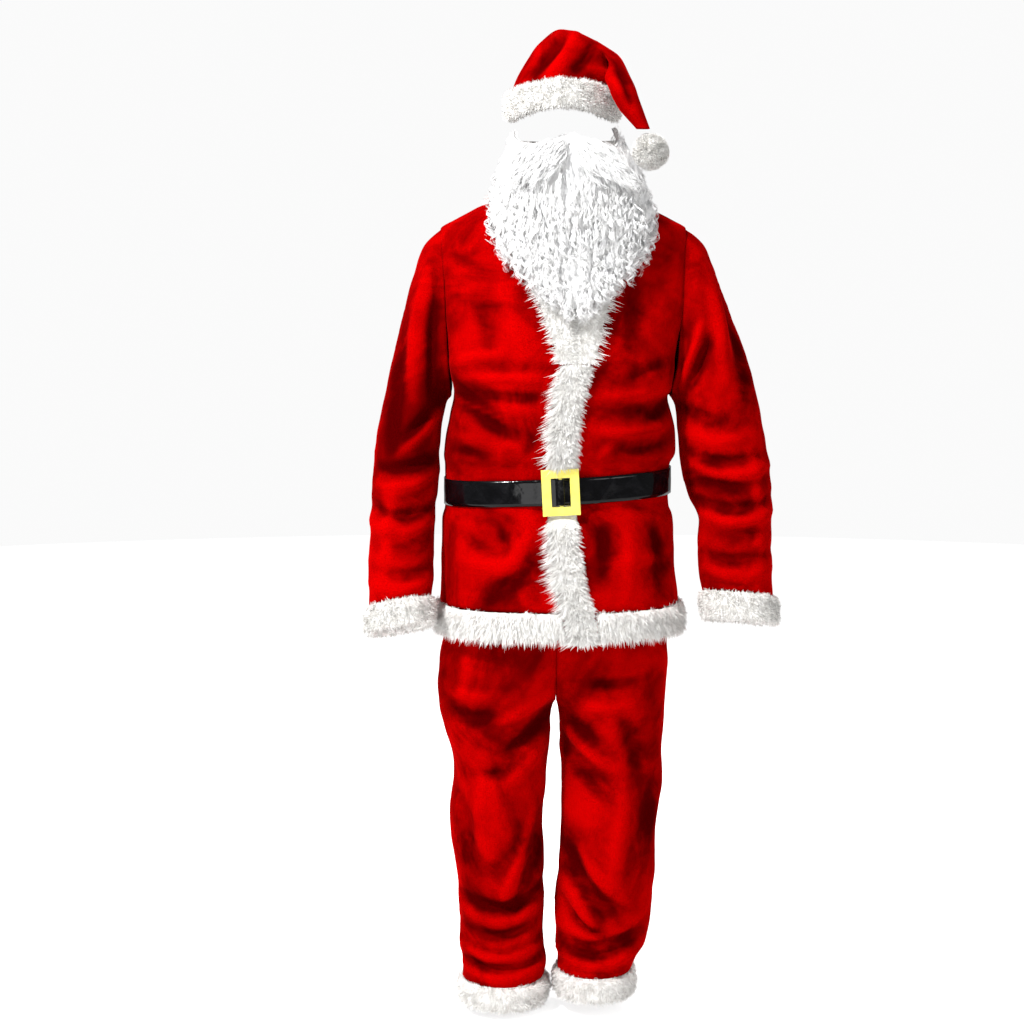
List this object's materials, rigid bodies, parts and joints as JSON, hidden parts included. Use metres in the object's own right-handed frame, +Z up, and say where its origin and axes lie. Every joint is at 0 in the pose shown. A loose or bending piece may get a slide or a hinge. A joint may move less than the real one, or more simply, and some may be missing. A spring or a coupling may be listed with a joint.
{
  "type": "santa suit",
  "caption": "Worn santa suit with no wearer: red velour jacket, trousers and tailed hat trimmed with white fur, a curly white beard, and a black belt with a yellow frame buckle.",
  "frame": {"origin": "middle of the neck, level with the top of the shoulders, where the wearer carries the jacket", "axes": "+Z up along the body, -Y out of the front, +X towards the wearer's left side"},
  "size_m": [0.7332, 0.3239, 1.7378],
  "materials": {
    "velour_red": "short crushed pile with a sheen",
    "fur_white": "matte long pile",
    "curls_white": "curled satin fibre",
    "vinyl_black": "high gloss",
    "plastic_yellow": "satin moulded",
    "elastic_white": "woven"
  },
  "bodies": {
    "root": {"jacket_front_right": "velour_red", "jacket_front_left": "velour_red", "jacket_back": "velour_red", "sleeve_right": "velour_red", "sleeve_left": "velour_red", "trouser_front_right": "velour_red", "trouser_back_right": "velour_red", "trouser_front_left": "velour_red", "trouser_back_left": "velour_red", "waistband": "velour_red", "hat_crown": "velour_red", "neck_band": "fur_white", "front_band": "fur_white", "hem_trim": "fur_white", "cuff_trim_right": "fur_white", "cuff_trim_left": "fur_white", "ankle_trim_right": "fur_white", "ankle_trim_left": "fur_white", "hat_brim": "fur_white", "hat_pompom": "fur_white", "beard": "curls_white", "belt_strap": "vinyl_black", "belt_end": "vinyl_black", "buckle": "plastic_yellow", "beard_strap": "elastic_white"}
  },
  "joints": []
}
